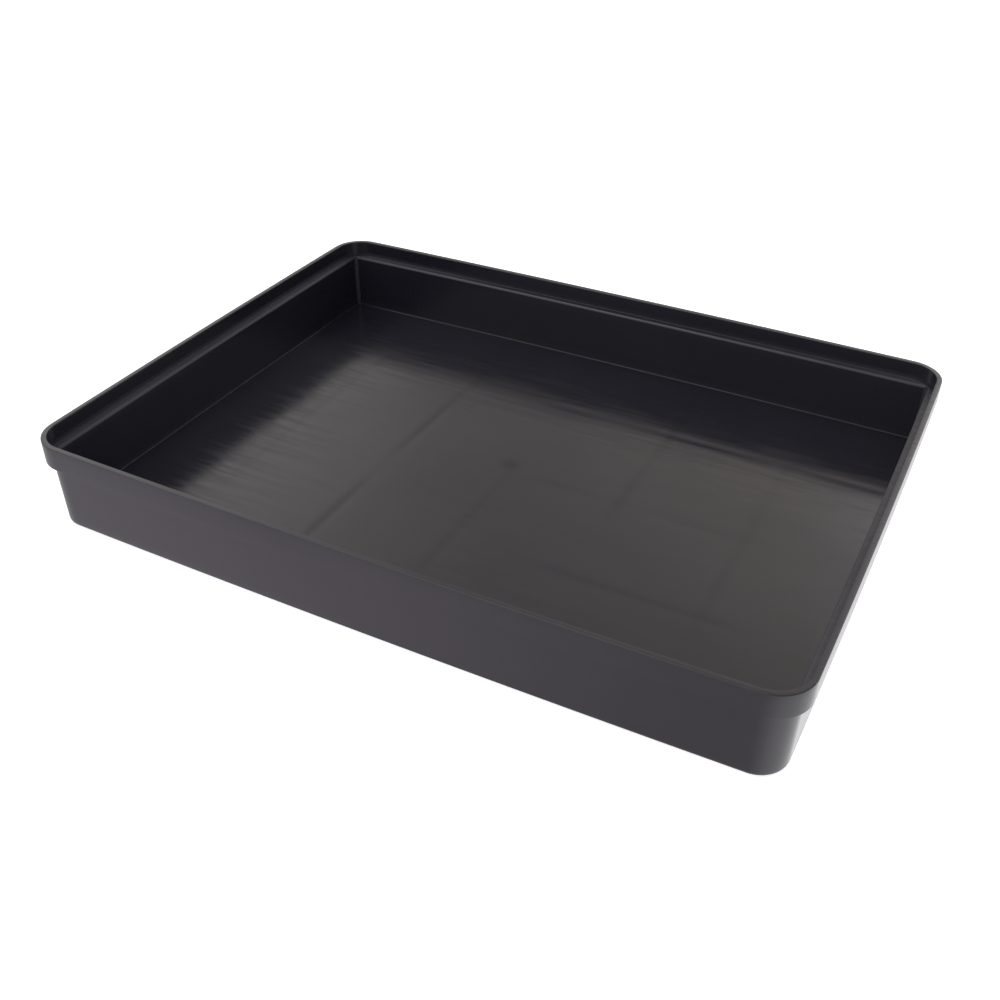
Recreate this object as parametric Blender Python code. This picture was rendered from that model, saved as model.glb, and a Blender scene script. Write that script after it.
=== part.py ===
"""One-piece injection-moulded deep tray, the flat-bottomed kind that holds paint for a roller.

Axes: X runs along the length, Y along the width, +Z up.  The origin is on the
surface that the tray stands on, under the middle of the floor.  Units are metres.
"""
import math

import bmesh
import bpy

# Outside of the rim
LENGTH = 0.400
WIDTH = 0.300
HEIGHT = 0.051
RIM_RADIUS = 0.0185

# Upright rim band and the sloped step under it
RIM_WALL = 0.0030
BAND_HEIGHT = 0.0126
STEP_WIDTH = 0.0036
STEP_DROP = 0.0024

# Ledge inside the rim, sloping down towards the inside
LEDGE_DEPTH = 0.0102
LEDGE_WIDTH = 0.0042
LEDGE_DROP = 0.0006

# Lower wall, with tight corners inside
INNER_RADIUS = 0.0022
WALL_TAPER = 0.0008
BASE_ROUND = 0.0030
LIP_ROUND = 0.0006

# Floor
FLOOR_TOP = 0.0060
FLOOR_THICKNESS = 0.0028
FLOOR_FILLET = 0.0012

# Ribs under the floor
CELLS_ALONG = 6
CELLS_ACROSS = 4
RIB_WIDTH = 0.0018
FOOT_WIDTH = 0.0060
POCKET_RADIUS = 0.0040

# How finely round stretches are divided
CORNER_SEGMENTS = 10
EDGE_SEGMENTS = 4
POCKET_SEGMENTS = 3

PLASTIC_COLOUR = (0.018, 0.017, 0.018, 1.0)
PLASTIC_ROUGHNESS = 0.42


def clear_scene():
    for item in list(bpy.data.objects):
        bpy.data.objects.remove(item, do_unlink=True)


def make_collection(name):
    collection = bpy.data.collections.new(name)
    bpy.context.scene.collection.children.link(collection)
    return collection


def make_plastic():
    plastic = bpy.data.materials.new("black_plastic")
    plastic.use_nodes = True
    shader = plastic.node_tree.nodes["Principled BSDF"]
    shader.inputs["Base Color"].default_value = PLASTIC_COLOUR
    shader.inputs["Roughness"].default_value = PLASTIC_ROUGHNESS
    shader.inputs["Metallic"].default_value = 0.0
    return plastic


def arc(centre_inset, centre_z, radius, start, end, steps):
    """Points of a rounding in the wall section, as (inset, z); angles are in degrees."""
    points = []
    for step in range(steps + 1):
        angle = math.radians(start + (end - start) * step / steps)
        inset = centre_inset - radius * math.cos(angle)
        points.append((inset, centre_z + radius * math.sin(angle)))
    return points


def wall_lean(z):
    """How far the lower wall has leaned inwards at a height, from its top down to the foot."""
    wall_top = HEIGHT - BAND_HEIGHT - STEP_DROP
    return WALL_TAPER * max(0.0, 1 - z / wall_top)


def outer_section():
    """Outer face of the wall from the foot up to the top of the lip, as (inset, z)."""
    step_z = HEIGHT - BAND_HEIGHT
    wall_top = step_z - STEP_DROP
    foot_inset = STEP_WIDTH + wall_lean(BASE_ROUND)
    points = arc(foot_inset + BASE_ROUND, BASE_ROUND, BASE_ROUND, -90, 0, EDGE_SEGMENTS)
    points.append((STEP_WIDTH, wall_top))
    points.append((LIP_ROUND, step_z - LIP_ROUND))
    points.append((0.0, step_z + LIP_ROUND))
    points += arc(LIP_ROUND, HEIGHT - LIP_ROUND, LIP_ROUND, 0, 90, 2)
    return points


def inner_section():
    """Inner face of the wall from the lip down to the edge of the flat floor, as (inset, z)."""
    ledge_z = HEIGHT - LEDGE_DEPTH
    ledge_end = ledge_z - LEDGE_DROP
    wall_inset = RIM_WALL + LEDGE_WIDTH
    fillet_z = FLOOR_TOP + FLOOR_FILLET
    points = [(RIM_WALL - LIP_ROUND, HEIGHT), (RIM_WALL, HEIGHT - LIP_ROUND)]
    points.append((RIM_WALL, ledge_z))
    points.append((wall_inset - LIP_ROUND, ledge_end))
    points.append((wall_inset, ledge_end - LIP_ROUND))
    fillet_inset = wall_inset + wall_lean(fillet_z)
    for step in range(EDGE_SEGMENTS + 1):
        angle = math.radians(90 * step / EDGE_SEGMENTS)
        inset = fillet_inset + FLOOR_FILLET * (1 - math.cos(angle))
        points.append((inset, fillet_z - FLOOR_FILLET * math.sin(angle)))
    return points


def outer_radius(inset):
    """Corner radius outside and on the rim, where all corners are concentric."""
    return RIM_RADIUS - inset


def inner_radius(inset):
    """Corner radius inside: wide at the rim, closing over the ledge to the tight wall corner."""
    share = min(1.0, max(0.0, (inset - RIM_WALL) / LEDGE_WIDTH))
    rim_radius = outer_radius(min(inset, RIM_WALL))
    radius = rim_radius + (INNER_RADIUS - rim_radius) * share
    below_wall = inset - RIM_WALL - LEDGE_WIDTH - WALL_TAPER
    return radius - max(0.0, below_wall)


def rounded_rectangle(inset, z, radius):
    """Points round the tray at one level, counter-clockwise seen from above."""
    half_x = LENGTH / 2 - inset - radius
    half_y = WIDTH / 2 - inset - radius
    points = []
    for quarter, (side_x, side_y) in enumerate(((1, 1), (-1, 1), (-1, -1), (1, -1))):
        for step in range(CORNER_SEGMENTS + 1):
            angle = math.radians(90 * quarter + 90 * step / CORNER_SEGMENTS)
            x = side_x * half_x + radius * math.cos(angle)
            y = side_y * half_y + radius * math.sin(angle)
            points.append((x, y, z))
    return points


def loft(name, rings):
    """Closed body through rings of equal length; the first and last rings are capped."""
    mesh = bpy.data.meshes.new(name)
    bm = bmesh.new()
    loops = []
    for ring in rings:
        loops.append([bm.verts.new(point) for point in ring])
    count = len(loops[0])
    for lower, upper in zip(loops[:-1], loops[1:]):
        for index in range(count):
            following = (index + 1) % count
            bm.faces.new((lower[index], lower[following], upper[following], upper[index]))
    bm.faces.new(list(reversed(loops[0])))
    bm.faces.new(loops[-1])
    bmesh.ops.recalc_face_normals(bm, faces=bm.faces)
    bm.to_mesh(mesh)
    bm.free()
    return bpy.data.objects.new(name, mesh)


def make_shell(collection):
    rings = []
    for inset, z in outer_section():
        rings.append(rounded_rectangle(inset, z, outer_radius(inset)))
    for inset, z in inner_section():
        rings.append(rounded_rectangle(inset, z, inner_radius(inset)))
    shell = loft("tray_shell", rings)
    collection.objects.link(shell)
    return shell


def pocket_spans(size, cells):
    """Centre and width of each pocket between the ribs, along one direction of the floor."""
    pitch = size / cells
    foot_inset = STEP_WIDTH + WALL_TAPER + BASE_ROUND + FOOT_WIDTH
    edge = size / 2 - foot_inset
    spans = []
    for cell in range(cells):
        low = max(-edge, -size / 2 + pitch * cell + RIB_WIDTH / 2)
        high = min(edge, -size / 2 + pitch * (cell + 1) - RIB_WIDTH / 2)
        spans.append(((low + high) / 2, high - low))
    return spans


def make_pocket_cutter(collection):
    """One object that holds every pocket between the ribs on the underside."""
    bm = bmesh.new()
    depth = 2 * (FLOOR_TOP - FLOOR_THICKNESS)
    for centre_x, size_x in pocket_spans(LENGTH, CELLS_ALONG):
        for centre_y, size_y in pocket_spans(WIDTH, CELLS_ACROSS):
            box = bmesh.ops.create_cube(bm, size=1.0)
            bmesh.ops.scale(bm, verts=box["verts"], vec=(size_x, size_y, depth))
            bmesh.ops.translate(bm, verts=box["verts"], vec=(centre_x, centre_y, 0.0))
    upright = [edge for edge in bm.edges if abs(edge.verts[0].co.z - edge.verts[1].co.z) > depth / 2]
    bmesh.ops.bevel(
        bm,
        geom=upright,
        offset=POCKET_RADIUS,
        offset_type="OFFSET",
        segments=POCKET_SEGMENTS,
        profile=0.5,
        affect="EDGES",
    )
    mesh = bpy.data.meshes.new("pocket_cutter")
    bm.to_mesh(mesh)
    bm.free()
    cutter = bpy.data.objects.new("pocket_cutter", mesh)
    cutter.hide_render = True
    cutter.display_type = "WIRE"
    collection.objects.link(cutter)
    return cutter


def cut(target, cutter):
    boolean = target.modifiers.new("pockets", "BOOLEAN")
    boolean.operation = "DIFFERENCE"
    boolean.solver = "EXACT"
    boolean.object = cutter


def smooth(target, angle):
    target.data.shade_smooth()
    target.data.set_sharp_from_angle(angle=math.radians(angle))


def main():
    clear_scene()
    tray = make_collection("roller_tray")
    cutters = make_collection("cutters")
    shell = make_shell(tray)
    shell.data.materials.append(make_plastic())
    smooth(shell, 35)
    cut(shell, make_pocket_cutter(cutters))


main()
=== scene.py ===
"""Looks of a one-piece black moulded tray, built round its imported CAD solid.

Everything is in metres in the CAD model's frame: X along the length, Y along the
width, +Z up, with the origin under the middle of the floor.
"""

import math

import bmesh
import bpy
from mathutils import Matrix, Vector, noise


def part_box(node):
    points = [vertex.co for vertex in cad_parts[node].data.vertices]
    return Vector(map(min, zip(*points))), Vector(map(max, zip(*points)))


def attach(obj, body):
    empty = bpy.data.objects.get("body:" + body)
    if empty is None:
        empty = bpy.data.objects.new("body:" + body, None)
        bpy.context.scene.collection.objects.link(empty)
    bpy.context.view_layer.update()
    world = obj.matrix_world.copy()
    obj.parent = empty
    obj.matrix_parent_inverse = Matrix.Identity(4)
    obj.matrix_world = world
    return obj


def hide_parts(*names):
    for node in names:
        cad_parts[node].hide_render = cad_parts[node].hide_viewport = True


# Wall section: insets are measured inwards from the outside of the rim
RIM_RADIUS = 0.0185
RIM_WALL = 0.0030
BAND_HEIGHT = 0.0126
STEP_WIDTH = 0.0036
STEP_DROP = 0.0024
LEDGE_DEPTH = 0.0102
LEDGE_WIDTH = 0.0042
LEDGE_DROP = 0.0002
INNER_RADIUS = 0.0022
WALL_TAPER = 0.0008
FLOOR_TOP = 0.0060
FLOOR_INSET = 0.0092
FLOOR_CORNER = 0.0008
FOOT_INSET = 0.0134

# Roundings of the wall section
BASE_ROUND = 0.0030
STEP_ROUND = 0.0003
LIP_ROUND = 0.0005
BAND_ROUND = 0.0002
LEDGE_ROUND = 0.0016
FLOOR_FILLET = 0.0007

# How far the middle of each wall stands out beyond its ends
SHORT_WALL_BELLY = 0.0010
LONG_WALL_BELLY = 0.0020

# Ribs under the floor
CELLS_ALONG = 6
CELLS_ACROSS = 4
RIB_WIDTH = 0.0018
POCKET_DEPTH = 0.0032
POCKET_RADIUS = 0.0040

# Section of a pocket from its rim to its roof: how far it has shrunk, and height
POCKET_SECTION = (
    (0.0, 0.0),
    (0.0001, 0.0003),
    (0.0003, POCKET_DEPTH - 0.0008),
    (0.0010, POCKET_DEPTH),
)

# Unevenness of the floor's top: height of each layer, and its waves per metre
SLOW_WAVES = 0.00050
SLOW_RATE = 14
QUICK_WAVES = 0.00003
QUICK_RATE_X = 30
QUICK_RATE_Y = 60
EVEN_MARGIN = 0.0040

# Marks on the floor: sinks over the ribs, the gate, and the fillet round the edge
SINK_DEPTH = 0.00008
SINK_SPREAD = 0.0026
SINK_FADE = 0.020
SINK_PATCH_RATE = 18
SINK_PATCHINESS = 1.2
GATE_X = -0.0030
GATE_Y = 0.0060
GATE_RADIUS = 0.0068
GATE_MARK = 1.5
FILLET_MARK = 2.5

# Sink marks as place, strength, start and end: those that run across the tray,
# then those that run along it
CROSS_SINKS = (
    (-0.1333, 0.5, -0.10, 0.10),
    (-0.0660, 1.1, -0.12, 0.16),
    (0.0000, 0.5, -0.11, 0.02),
    (0.0640, 0.8, -0.03, 0.16),
    (0.1333, 0.5, -0.10, 0.10),
)
LONG_SINKS = (
    (-0.0680, 0.7, 0.03, 0.16),
    (0.0000, 0.5, 0.00, 0.15),
    (0.0780, 1.1, -0.02, 0.21),
)

# How dull each place of the wall is, which also lightens its colour: wear on the lips, foot and
# floor fillet, and painted highlight on the band's corners, the ledge and the tight wall corners;
# 0 is polished
EDGE_WEAR = 0.25
# Painted highlight: a narrow lighter stripe down the band's inner face at each corner, also duller
BAND_CORNER_DULLING_AND_HIGHLIGHT = 1.6
BAND_CORNER_FOCUS = 60
# Painted highlight: the ledge lightened, most on the short walls and near the ends of the long
# ones, also duller
SHORT_LEDGE_DULLING_AND_HIGHLIGHT = 1.5
LONG_LEDGE_DULLING_AND_HIGHLIGHT = 0.2
LEDGE_END_DULLING_AND_HIGHLIGHT = 1.0
LEDGE_HIGHLIGHT_REACH = 0.110
LEDGE_CORNER_FADE = 0.7
FILLET_WEAR = 0.35
FLOOR_EDGE_WEAR = 0.1
# Painted highlight: a lighter line down each tight inner corner of the wall, also duller
WALL_CORNER_DULLING_AND_HIGHLIGHT = 1.2

# How finely the tray is divided
ARC_STEPS = 6
LONGEST_STRETCH = 0.004
COLUMNS = 200
ROWS = 146
CORNER_STEPS = 16
CORNER_RINGS = 2
POCKET_STEPS = 5
SHARP_ANGLE = 40
TINY = 1e-6
KEYS_PER_METRE = 1e6

# The four corners: the sides each lies on, and the angle at which its arc starts
CORNERS = ((1, -1, -90), (1, 1, 0), (-1, 1, 90), (-1, -1, 180))

# Plastic: its body in two shades, the grey that wear and painted highlight lighten it to, and what
# dust turns it to
DEEP_BLACK = (0.0128, 0.0122, 0.0182, 1.0)
SOFT_BLACK = (0.0155, 0.0148, 0.0205, 1.0)
WORN_AND_HIGHLIGHT_GREY = (0.0400, 0.0400, 0.0480, 1.0)
DUST_GREY = (0.0900, 0.0880, 0.0850, 1.0)
DUST_AMOUNT = 0.05
ROUGHNESS_RANGE = (0.175, 0.215)
STREAK_RANGE = (-0.04, 0.055)
WORN_ROUGHNESS = 0.26
PLASTIC_IOR = 1.5
SPECULAR_RANGE = (0.5, 0.28)

# Relief of the plastic's surface, as depth and strength
GRAIN_RELIEF = (0.000006, 0.20)
FLOW_RELIEF = (0.000020, 1.0)
DRAW_RELIEF = (0.000035, 1.0)

# Moves the textures' own planes clear of the tray
TEXTURE_SHIFT = (11.3, 17.9, 23.1)

# Ground
GROUND_HALF_SIZE = 6.0
GROUND_COLOUR = (0.80, 0.80, 0.80, 1.0)
GROUND_GLOW = 0.76

# Soft lights as name, direction, distance, size and radiance
SOFTBOXES = (
    ("overhead", (-0.25, -0.12, 1.0), 1.3, 0.7, 1.6),
    ("left", (-0.60, -0.20, 0.75), 1.4, 0.6, 1.6),
)

# Studio: level of the pale walls all round, then patches as azimuth, elevation,
# inner and outer angle in degrees, and the light each adds
STUDIO_LEVEL = 0.72
STUDIO_PATCHES = (
    (-58, 28, 8, 26, (0.74, 0.72, 0.70)),
    (0, 31, 6, 22, (0.36, 0.31, 0.27)),
    (12, 30, 4, 19, (1.00, 1.06, 1.25)),
    (-24, 36, 25, 60, (0.00, -0.04, -0.09)),
    (100, 35, 20, 75, (-0.46, -0.44, -0.42)),
    (180, 35, 20, 75, (0.32, 0.30, 0.38)),
    (72, -33, 32, 84, (0.74, 0.72, 0.73)),
    (-133, -33, 8, 30, (0.24, 0.18, 0.27)),
    (180, -45, 10, 60, (0.00, -0.04, -0.05)),
    (0, -90, 8, 48, (-0.45, -0.45, -0.45)),
)

# Camera: azimuth from -Y towards +X, angles in degrees, sensor and lens in millimetres
CAMERA_AZIMUTH = 27.16
CAMERA_ELEVATION = 35.35
CAMERA_ROLL = 0.42
CAMERA_TARGET = (0.01548, -0.04243, 0.0190)
CAMERA_DISTANCE = 0.59002
CAMERA_SENSOR = 36.0
CAMERA_LENS = 41.21


def add_object(name, data):
    made = bpy.data.objects.new(name, data)
    bpy.context.scene.collection.objects.link(made)
    return made


# ---------------------------------------------------------------- wall section

def filleted(corners):
    """Section line through corners given as (inset, z, radius), with each corner rounded."""
    line = [Vector(corners[0][:2])]
    for before, corner, after in zip(corners[:-2], corners[1:-1], corners[2:]):
        here = Vector(corner[:2])
        radius = corner[2]
        back = (Vector(before[:2]) - here).normalized()
        ahead = (Vector(after[:2]) - here).normalized()
        half = back.angle(ahead) / 2
        reach = radius / math.tan(half)
        centre = here + (back + ahead).normalized() * (radius / math.sin(half))
        start = here + back * reach - centre
        sweep = (math.pi - 2 * half) * (1 if start.cross(ahead) > 0 else -1)
        for step in range(ARC_STEPS + 1):
            turned = Matrix.Rotation(sweep * step / ARC_STEPS, 2) @ start
            line.append(centre + turned)
    line.append(Vector(corners[-1][:2]))
    return line


def divided(line, longest):
    """The same line with points added so that no stretch is longer than the given length."""
    points = [line[0]]
    for start, end in zip(line[:-1], line[1:]):
        count = max(1, math.ceil((end - start).length / longest))
        for step in range(1, count + 1):
            points.append(start.lerp(end, step / count))
    return points


def wall_section(height):
    """From the inner edge of the foot, round the outside, over the lip and down to the floor."""
    step_z = height - BAND_HEIGHT
    ledge_z = height - LEDGE_DEPTH
    wall_inset = RIM_WALL + LEDGE_WIDTH
    corners = [
        (FOOT_INSET, 0.0, 0.0),
        (STEP_WIDTH + WALL_TAPER, 0.0, BASE_ROUND),
        (STEP_WIDTH, step_z - STEP_DROP, STEP_ROUND),
        (0.0, step_z, STEP_ROUND),
        (0.0, height, LIP_ROUND),
        (RIM_WALL, height, LIP_ROUND),
        (RIM_WALL, ledge_z, BAND_ROUND),
        (wall_inset, ledge_z - LEDGE_DROP, LEDGE_ROUND),
        (wall_inset + WALL_TAPER, FLOOR_TOP, FLOOR_FILLET),
        (FLOOR_INSET, FLOOR_TOP, 0.0),
    ]
    return divided(filleted(corners), LONGEST_STRETCH)


def inner_radius(inset):
    """Corner radius inside the rim, closing over the ledge to the tight corner of the wall."""
    rim_radius = RIM_RADIUS - RIM_WALL
    share = min(1.0, (inset - RIM_WALL) / LEDGE_WIDTH)
    below_wall = max(0.0, inset - RIM_WALL - LEDGE_WIDTH - WALL_TAPER)
    return max(FLOOR_CORNER, rim_radius + (INNER_RADIUS - rim_radius) * share - below_wall)


# ------------------------------------------------------------------ tray mesh

class Outline:
    """One rounded rectangle round the tray, divided alike whatever its size."""

    def __init__(self, length, width, inset, radius):
        self.radius = radius
        self.half_x = length / 2 - inset - radius
        self.half_y = width / 2 - inset - radius
        self.xs = [self.half_x * (2 * i / COLUMNS - 1) for i in range(COLUMNS + 1)]
        self.ys = [self.half_y * (2 * i / ROWS - 1) for i in range(ROWS + 1)]

    def corner(self, side_x, side_y, start, radius):
        """Points round one corner as (x, y, turn); turn is 1 on the diagonal and 0 at the ends."""
        points = []
        for step in range(CORNER_STEPS + 1):
            angle = math.radians(start + 90 * step / CORNER_STEPS)
            x = side_x * self.half_x + radius * math.cos(angle)
            y = side_y * self.half_y + radius * math.sin(angle)
            points.append((x, y, math.sin(math.pi * step / CORNER_STEPS)))
        return points

    def points(self):
        """Points as (x, y, turn), counter-clockwise from the left end of the front side."""
        out_x = self.half_x + self.radius
        out_y = self.half_y + self.radius
        sides = (
            [(x, -out_y, 0.0) for x in self.xs[:-1]],
            [(out_x, y, 0.0) for y in self.ys[1:-1]],
            [(x, out_y, 0.0) for x in reversed(self.xs[1:-1])],
            [(-out_x, y, 0.0) for y in reversed(self.ys[1:-1])],
        )
        points = []
        for side, corner in zip(sides, CORNERS):
            points += side + self.corner(*corner, self.radius)
        return points[:-1]


def wear_and_painted_highlight_level(place, turn, inset, size, inside):
    """How dull the moulding is at a point of the wall, which also lightens its colour: wear at the
    lips, foot and floor fillet, and painted highlight on the ledge, the band's corners and the
    tight wall corners.
    """
    x, y, z = place
    if z > size.z - LIP_ROUND:
        return EDGE_WEAR
    if not inside:
        return EDGE_WEAR if z < BASE_ROUND else 0.0
    ledge_z = size.z - LEDGE_DEPTH
    # Painted highlight stripe down the band's inner face at the corners
    if z > ledge_z + BAND_ROUND:
        return BAND_CORNER_DULLING_AND_HIGHLIGHT * turn ** BAND_CORNER_FOCUS
    # Painted highlight along the ledge, strongest on the short walls and near the ends
    if inset < RIM_WALL + LEDGE_WIDTH - TINY and z > ledge_z - LEDGE_ROUND:
        from_end = size.x / 2 - abs(x)
        ledge_dulling_and_highlight = SHORT_LEDGE_DULLING_AND_HIGHLIGHT
        if from_end >= RIM_RADIUS:
            near_end = math.exp(-(from_end / LEDGE_HIGHLIGHT_REACH) ** 2)
            ledge_dulling_and_highlight = LONG_LEDGE_DULLING_AND_HIGHLIGHT + LEDGE_END_DULLING_AND_HIGHLIGHT * near_end
        return ledge_dulling_and_highlight * (1 - LEDGE_CORNER_FADE * turn)
    if z < FLOOR_TOP + FLOOR_FILLET:
        return FILLET_WEAR * (1 - turn) if z > FLOOR_TOP + TINY else FLOOR_EDGE_WEAR
    # Painted highlight line down the wall's tight inner corners
    return WALL_CORNER_DULLING_AND_HIGHLIGHT * turn


def dip(distance, spread):
    """A smooth hollow: 1 in its middle, fading to nothing over about two spreads."""
    return math.exp(-((distance / spread) ** 2))


def sink(lines, across, along):
    """Strength of the sink marks over ribs that all run one way, at a point of the floor."""
    depth = 0.0
    for index, (place, strength, start, end) in enumerate(lines):
        after_start = max(0.0, (along - start) / SINK_FADE)
        before_end = max(0.0, (end - along) / SINK_FADE)
        row = 7.0 + 5 * index
        wander = noise.noise(Vector((along * SINK_PATCH_RATE, row, 0.0)))
        patchy = max(0.0, 1 + SINK_PATCHINESS * wander)
        ends = min(1.0, after_start, before_end)
        depth += strength * ends * patchy * dip(across - place, SINK_SPREAD)
    return depth


def marks(x, y):
    """How much the floor is sunk at a point, over the ribs and at the gate; 1 is a full mark."""
    radius = math.hypot(x - GATE_X, y - GATE_Y)
    gate = GATE_MARK * max(0.0, 1 - (radius / GATE_RADIUS) ** 2)
    return sink(CROSS_SINKS, x, y) + sink(LONG_SINKS, y, x) + gate


def unevenness(x, y):
    """How far the moulded floor lies above its nominal level."""
    rise = -SINK_DEPTH * marks(x, y)
    rise += SLOW_WAVES * noise.noise(Vector((x * SLOW_RATE, y * SLOW_RATE, 3.0)))
    rise += QUICK_WAVES * noise.noise(Vector((x * QUICK_RATE_X, y * QUICK_RATE_Y, 5.0)))
    return rise


def floor_patch(bm, outline, ring, sunk):
    """The floor's top: a square grid with a fan at each corner, meeting the wall's last ring."""
    radius = outline.radius
    margins = [radius * (1 - i / CORNER_RINGS) for i in range(CORNER_RINGS)]
    low_x = [-outline.half_x - margin for margin in margins]
    low_y = [-outline.half_y - margin for margin in margins]
    grid_x = low_x + outline.xs + [-x for x in reversed(low_x)]
    grid_y = low_y + outline.ys + [-y for y in reversed(low_y)]

    def key(x, y):
        return round(x * KEYS_PER_METRE), round(y * KEYS_PER_METRE)

    verts = {key(v.co.x, v.co.y): v for v in ring}

    def vertex(x, y):
        where = key(x, y)
        if where not in verts:
            gap = min(outline.half_x - abs(x), outline.half_y - abs(y)) + radius
            level = FLOOR_TOP + unevenness(x, y) * min(1.0, gap / EVEN_MARGIN)
            verts[where] = bm.verts.new((x, y, level))
            verts[where][sunk] = marks(x, y)
        return verts[where]

    for i, (low, high) in enumerate(zip(grid_x[:-1], grid_x[1:])):
        for j, (near, far) in enumerate(zip(grid_y[:-1], grid_y[1:])):
            in_x = CORNER_RINGS <= i < CORNER_RINGS + COLUMNS
            in_y = CORNER_RINGS <= j < CORNER_RINGS + ROWS
            if in_x or in_y:
                square = ((low, near), (high, near), (high, far), (low, far))
                bm.faces.new([vertex(x, y) for x, y in square])
    for side_x, side_y, start in CORNERS:
        centre = vertex(side_x * outline.half_x, side_y * outline.half_y)
        inner = [centre] * (CORNER_STEPS + 1)
        for level in range(1, CORNER_RINGS + 1):
            points = outline.corner(side_x, side_y, start, radius * level / CORNER_RINGS)
            outer = [vertex(x, y) for x, y, turn in points]
            for step in range(CORNER_STEPS):
                corners = (inner[step], outer[step], outer[step + 1], inner[step + 1])
                bm.faces.new(corners if level > 1 else corners[:3])
            inner = outer


def pocket_outline(centre, size, shrink):
    """Rounded rectangle of one pocket between the ribs, counter-clockwise."""
    half = Vector((size[0] / 2 - POCKET_RADIUS, size[1] / 2 - POCKET_RADIUS))
    radius = POCKET_RADIUS - shrink
    points = []
    for quarter, (side_x, side_y) in enumerate(((1, 1), (-1, 1), (-1, -1), (1, -1))):
        for step in range(POCKET_STEPS + 1):
            angle = math.radians(90 * quarter + 90 * step / POCKET_STEPS)
            x = centre[0] + side_x * half.x + radius * math.cos(angle)
            y = centre[1] + side_y * half.y + radius * math.sin(angle)
            points.append((x, y))
    return points


def pocket_spans(size, cells):
    """Centre and size of each pocket between the ribs, along one direction."""
    pitch = size / cells
    edge = size / 2 - FOOT_INSET
    spans = []
    for cell in range(cells):
        low = max(-edge, -size / 2 + pitch * cell + RIB_WIDTH / 2)
        high = min(edge, -size / 2 + pitch * (cell + 1) - RIB_WIDTH / 2)
        spans.append(((low + high) / 2, high - low))
    return spans


def bridge(bm, first, second):
    """A band of faces between two closed loops of equal length."""
    for index in range(len(first)):
        following = (index + 1) % len(first)
        bm.faces.new((first[index], first[following], second[following], second[index]))


def underside(bm, foot, length, width):
    """Foot and ribs level with the bottom, with a rounded pocket sunk between each set of ribs."""
    rims = []
    for centre_x, size_x in pocket_spans(length, CELLS_ALONG):
        for centre_y, size_y in pocket_spans(width, CELLS_ACROSS):
            loops = []
            for shrink, z in POCKET_SECTION:
                points = pocket_outline((centre_x, centre_y), (size_x, size_y), shrink)
                loops.append([bm.verts.new((x, y, z)) for x, y in points])
            for lower, upper in zip(loops[:-1], loops[1:]):
                bridge(bm, lower, upper)
            bm.faces.new(loops[-1])
            rims.append(loops[0])
    edges = []
    for loop in rims + [foot]:
        for index in range(len(loop)):
            pair = (loop[index], loop[(index + 1) % len(loop)])
            edges.append(bm.edges.get(pair) or bm.edges.new(pair))
    bmesh.ops.triangle_fill(bm, edges=edges, use_beauty=True, use_dissolve=False)


def belly_out(bm, length, width):
    """Draw the ends of each wall in, so that its middle stands out by its belly."""
    for vert in bm.verts:
        belly_x = SHORT_WALL_BELLY * (1 - (2 * vert.co.y / width) ** 2)
        belly_y = LONG_WALL_BELLY * (1 - (2 * vert.co.x / length) ** 2)
        vert.co.x *= 1 - 2 * (SHORT_WALL_BELLY - belly_x) / length
        vert.co.y *= 1 - 2 * (LONG_WALL_BELLY - belly_y) / width


def make_tray(low, high):
    """The whole tray as one closed mesh between the CAD solid's lowest and highest corners."""
    size = high - low
    length, width, height = size
    bm = bmesh.new()
    wear_and_painted_highlight = bm.verts.layers.float.new("wear_and_painted_highlight")
    sunk = bm.verts.layers.float.new("sunk")
    rings = []
    inside = False
    for inset, z in wall_section(height):
        radius = inner_radius(inset) if inside else RIM_RADIUS - inset
        outline = Outline(length, width, inset, radius)
        ring = []
        for x, y, turn in outline.points():
            vert = bm.verts.new((x, y, z))
            # Dullness that also lightens the colour: wear on lips and foot, painted highlight on
            # the ledge and corners
            vert[wear_and_painted_highlight] = wear_and_painted_highlight_level(vert.co, turn, inset, size, inside)
            vert[sunk] = FILLET_MARK if inside and z < FLOOR_TOP + FLOOR_FILLET else 0.0
            ring.append(vert)
        rings.append(ring)
        inside = inside or z > height - TINY and inset > RIM_WALL / 2
    for lower, upper in zip(rings[:-1], rings[1:]):
        bridge(bm, lower, upper)
    floor_patch(bm, outline, rings[-1], sunk)
    underside(bm, rings[0], length, width)
    bmesh.ops.recalc_face_normals(bm, faces=bm.faces)
    belly_out(bm, length, width)
    mesh = bpy.data.meshes.new("tray")
    bm.to_mesh(mesh)
    bm.free()
    mesh.shade_smooth()
    mesh.set_sharp_from_angle(angle=math.radians(SHARP_ANGLE))
    return add_object("tray", mesh)


# ------------------------------------------------------------------- material

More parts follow.
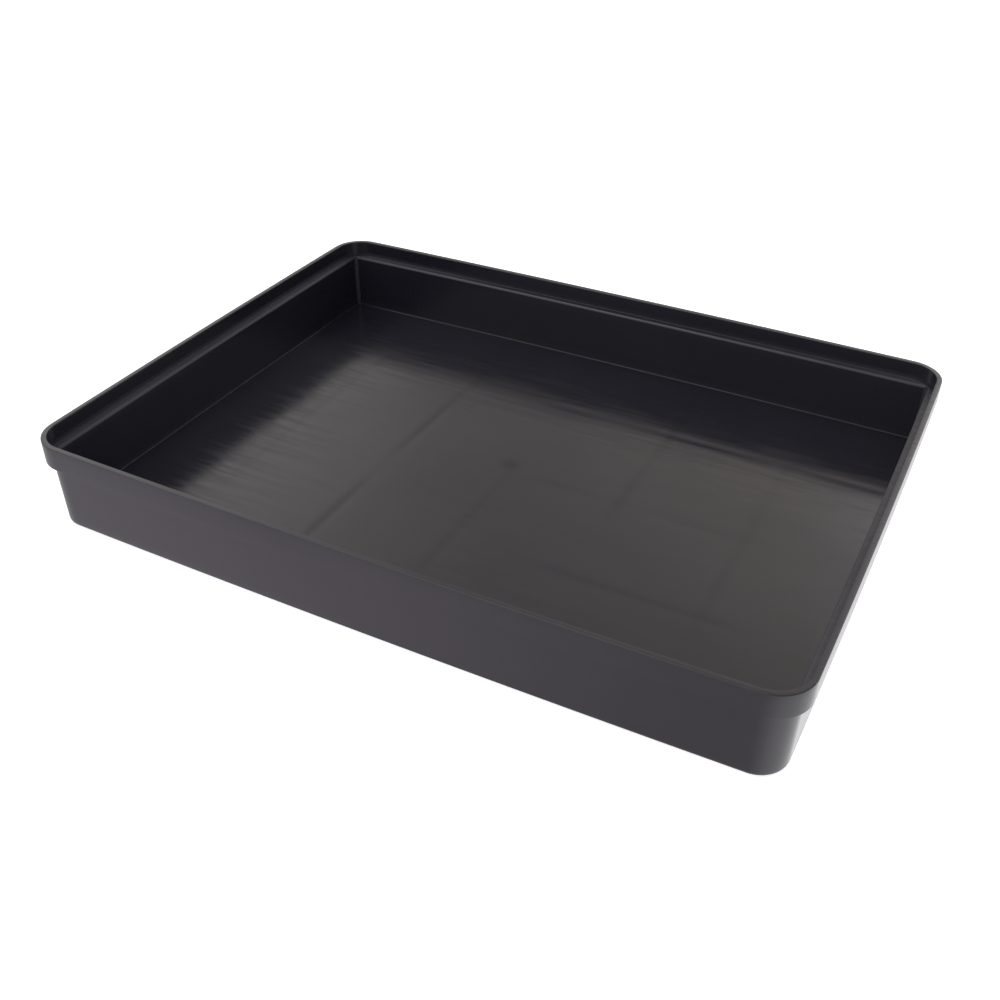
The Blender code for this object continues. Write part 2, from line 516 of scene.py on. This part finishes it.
class Nodes:
    """A node tree with short calls for adding nodes and links."""

    def __init__(self, tree):
        self.tree = tree

    def add(self, kind, **inputs):
        """Add a node; each input is named as on the node, with _ for a space."""
        node = self.tree.nodes.new(kind)
        for name, value in inputs.items():
            self.set(node, name.replace("_", " "), value)
        return node

    def set(self, node, which, value):
        """Link or set one input, given by its name or its number."""
        socket = node.inputs[which]
        if isinstance(value, bpy.types.NodeSocket):
            self.tree.links.new(value, socket)
        else:
            socket.default_value = value

    def attribute(self, name):
        node = self.add("ShaderNodeAttribute")
        node.attribute_name = name
        return node.outputs["Fac"]

    def stretched(self, where, scale):
        """Coordinates scaled along each axis and shifted, for a texture."""
        node = self.add("ShaderNodeMapping", Vector=where, Location=TEXTURE_SHIFT, Scale=scale)
        return node.outputs["Vector"]

    def noise(self, where, scale, detail, roughness):
        node = self.add("ShaderNodeTexNoise", Scale=scale, Detail=detail, Roughness=roughness)
        self.set(node, "Vector", where)
        return node.outputs["Fac"]

    def ramp(self, value, low, high, to_low, to_high, kind="LINEAR"):
        """Map a value from low and high to two others, and no further."""
        node = self.add("ShaderNodeMapRange", From_Min=low, From_Max=high)
        node.interpolation_type = kind
        self.set(node, "To Min", to_low)
        self.set(node, "To Max", to_high)
        self.set(node, "Value", value)
        return node.outputs["Result"]

    def math(self, operation, first, second):
        node = self.add("ShaderNodeMath")
        node.operation = operation
        self.set(node, 0, first)
        self.set(node, 1, second)
        return node.outputs["Value"]

    def vector(self, operation, first, second):
        """Sum or dot product of two vectors, or a vector scaled by a number."""
        node = self.add("ShaderNodeVectorMath")
        node.operation = operation
        self.set(node, 0, first)
        self.set(node, 3 if operation == "SCALE" else 1, second)
        return node.outputs["Value" if operation == "DOT_PRODUCT" else "Vector"]

    def mix_colour(self, factor, first, second):
        node = self.add("ShaderNodeMix")
        node.data_type = "RGBA"
        for index, value in ((0, factor), (6, first), (7, second)):
            self.set(node, index, value)
        return node.outputs[2]

    def bump(self, height, distance, strength, normal=None):
        node = self.add("ShaderNodeBump", Strength=strength, Distance=distance)
        self.set(node, "Height", height)
        if normal is not None:
            self.set(node, "Normal", normal)
        return node.outputs["Normal"]


def make_plastic():
    """Black moulded plastic: polished flats, duller places lightened grey by wear and by painted
    highlight, fine flow and draw marks.
    """
    plastic = bpy.data.materials.new("black_plastic")
    plastic.use_nodes = True
    nodes = Nodes(plastic.node_tree)
    shader = plastic.node_tree.nodes["Principled BSDF"]
    place = nodes.stretched(nodes.add("ShaderNodeTexCoord").outputs["Object"], (1.0, 1.0, 1.0))
    wear_and_painted_highlight = nodes.attribute("wear_and_painted_highlight")
    sunk = nodes.attribute("sunk")

    # Flow marks run along X on the flat faces, and draw marks run up the walls
    flow_place = nodes.stretched(place, (26.0, 340.0, 90.0))
    draw_place = nodes.stretched(place, (480.0, 480.0, 18.0))
    clouds = nodes.noise(place, scale=16.0, detail=4.0, roughness=0.55)
    specks = nodes.noise(place, scale=420.0, detail=2.0, roughness=0.5)
    grain = nodes.noise(place, scale=2600.0, detail=2.0, roughness=0.6)
    flow = nodes.noise(flow_place, scale=1.0, detail=1.0, roughness=0.5)
    draw = nodes.noise(draw_place, scale=1.0, detail=1.0, roughness=0.5)

    # How level a face is, from 0 on a wall to 1 on the floor, and the reverse
    normal = nodes.add("ShaderNodeNewGeometry").outputs["Normal"]
    slope = nodes.add("ShaderNodeSeparateXYZ", Vector=normal).outputs["Z"]
    upward = nodes.ramp(nodes.math("ABSOLUTE", slope, 0.0), 0.4, 0.9, 0.0, 1.0)
    upright = nodes.math("SUBTRACT", 1.0, upward)

    shade = nodes.ramp(clouds, 0.3, 0.7, 0.0, 1.0)
    # Lighter grey: real wear on lips and foot, painted highlight on the ledge and the corners
    worn_and_lit = nodes.math("MULTIPLY", wear_and_painted_highlight, nodes.ramp(clouds, 0.35, 0.65, 0.35, 0.65))
    dusty = nodes.math("MULTIPLY", nodes.ramp(specks, 0.66, 0.78, 0.0, 1.0), DUST_AMOUNT)
    colour = nodes.mix_colour(shade, DEEP_BLACK, SOFT_BLACK)
    colour = nodes.mix_colour(worn_and_lit, colour, WORN_AND_HIGHLIGHT_GREY)
    colour = nodes.mix_colour(dusty, colour, DUST_GREY)
    nodes.set(shader, "Base Color", colour)

    rough = nodes.ramp(clouds, 0.25, 0.75, *ROUGHNESS_RANGE)
    streaks = nodes.math("MULTIPLY", nodes.ramp(flow, 0.35, 0.65, *STREAK_RANGE), upward)
    rough = nodes.math("ADD", rough, streaks)
    rough = nodes.math("ADD", rough, nodes.math("MULTIPLY", wear_and_painted_highlight, WORN_ROUGHNESS))
    nodes.set(shader, "Roughness", rough)
    nodes.set(shader, "IOR", PLASTIC_IOR)
    specular = nodes.ramp(sunk, 0.0, FILLET_MARK, *SPECULAR_RANGE)
    nodes.set(shader, "Specular IOR Level", specular)

    relief = nodes.bump(grain, *GRAIN_RELIEF)
    relief = nodes.bump(nodes.math("MULTIPLY", flow, upward), *FLOW_RELIEF, relief)
    relief = nodes.bump(nodes.math("MULTIPLY", draw, upright), *DRAW_RELIEF, relief)
    nodes.set(shader, "Normal", relief)
    return plastic


# ---------------------------------------------------------------------- stage

def make_floor():
    """A pale surface that glows a little, so that it stays near white beside the tray."""
    mesh = bpy.data.meshes.new("ground")
    bm = bmesh.new()
    bmesh.ops.create_grid(bm, x_segments=1, y_segments=1, size=GROUND_HALF_SIZE)
    bm.to_mesh(mesh)
    bm.free()
    ground = add_object("ground", mesh)
    ground.visible_glossy = False
    pale = bpy.data.materials.new("pale_ground")
    pale.use_nodes = True
    shader = pale.node_tree.nodes["Principled BSDF"]
    shader.inputs["Base Color"].default_value = GROUND_COLOUR
    shader.inputs["Roughness"].default_value = 0.9
    shader.inputs["Specular IOR Level"].default_value = 0.0
    shader.inputs["Emission Color"].default_value = (1.0, 1.0, 1.0, 1.0)
    shader.inputs["Emission Strength"].default_value = GROUND_GLOW
    mesh.materials.append(pale)


def make_softbox(name, direction, distance, size, radiance):
    """A square soft light that faces the tray from a direction, as bright as asked."""
    data = bpy.data.lights.new(name, "AREA")
    data.size = size
    data.energy = radiance * math.pi * size * size
    lamp = add_object(name, data)
    away = Vector(direction).normalized()
    lamp.location = away * distance
    lamp.rotation_euler = away.to_track_quat("Z", "Y").to_euler()


def compass(azimuth, elevation):
    """Unit vector at an azimuth from +Y towards +X and a height above the horizon, in degrees."""
    azimuth = math.radians(azimuth)
    elevation = math.radians(elevation)
    flat = math.cos(elevation)
    return Vector((math.sin(azimuth) * flat, math.cos(azimuth) * flat, math.sin(elevation)))


def make_world():
    """Pale studio walls with broad brighter and dimmer patches, each given by where it lies."""
    world = bpy.data.worlds.new("studio")
    world.use_nodes = True
    nodes = Nodes(world.node_tree)
    direction = nodes.add("ShaderNodeTexCoord").outputs["Generated"]
    total = nodes.vector("SCALE", (1.0, 1.0, 1.0), STUDIO_LEVEL)
    for azimuth, elevation, inner, outer, colour in STUDIO_PATCHES:
        facing = nodes.vector("DOT_PRODUCT", direction, compass(azimuth, elevation))
        edge = math.cos(math.radians(outer))
        full = math.cos(math.radians(inner))
        amount = nodes.ramp(facing, edge, full, 0.0, 1.0, "SMOOTHSTEP")
        total = nodes.vector("ADD", total, nodes.vector("SCALE", colour, amount))
    sky = world.node_tree.nodes["Background"]
    nodes.set(sky, "Color", total)
    nodes.set(sky, "Strength", 1.0)
    bpy.context.scene.world = world


def make_camera():
    """Camera above the front right corner, turned a little about its own axis."""
    azimuth = math.radians(CAMERA_AZIMUTH)
    elevation = math.radians(CAMERA_ELEVATION)
    roll = math.radians(CAMERA_ROLL)
    back = Vector((
        math.sin(azimuth) * math.cos(elevation),
        -math.cos(azimuth) * math.cos(elevation),
        math.sin(elevation),
    ))
    right = (-back).cross(Vector((0, 0, 1))).normalized()
    up = right.cross(-back)
    turned_right = right * math.cos(roll) + up * math.sin(roll)
    turned_up = up * math.cos(roll) - right * math.sin(roll)
    axes = Matrix((turned_right, turned_up, back)).transposed()
    place = Vector(CAMERA_TARGET) + back * CAMERA_DISTANCE
    data = bpy.data.cameras.new("camera")
    data.sensor_width = CAMERA_SENSOR
    data.lens = CAMERA_LENS
    camera = add_object("camera", data)
    camera.matrix_world = Matrix.Translation(place) @ axes.to_4x4()
    bpy.context.scene.camera = camera


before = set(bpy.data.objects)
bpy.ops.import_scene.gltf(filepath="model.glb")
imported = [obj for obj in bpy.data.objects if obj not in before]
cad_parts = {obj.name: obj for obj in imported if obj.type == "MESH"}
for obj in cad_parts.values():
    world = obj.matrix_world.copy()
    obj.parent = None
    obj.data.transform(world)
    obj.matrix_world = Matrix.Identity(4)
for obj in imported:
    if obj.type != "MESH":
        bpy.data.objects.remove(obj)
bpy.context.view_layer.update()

make_camera()
make_world()
make_floor()
bpy.context.scene.view_settings.view_transform = "Standard"
for softbox in SOFTBOXES:
    make_softbox(*softbox)

tray = make_tray(*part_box("tray_shell"))
tray.data.materials.append(make_plastic())
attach(tray, "root")
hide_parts("tray_shell")
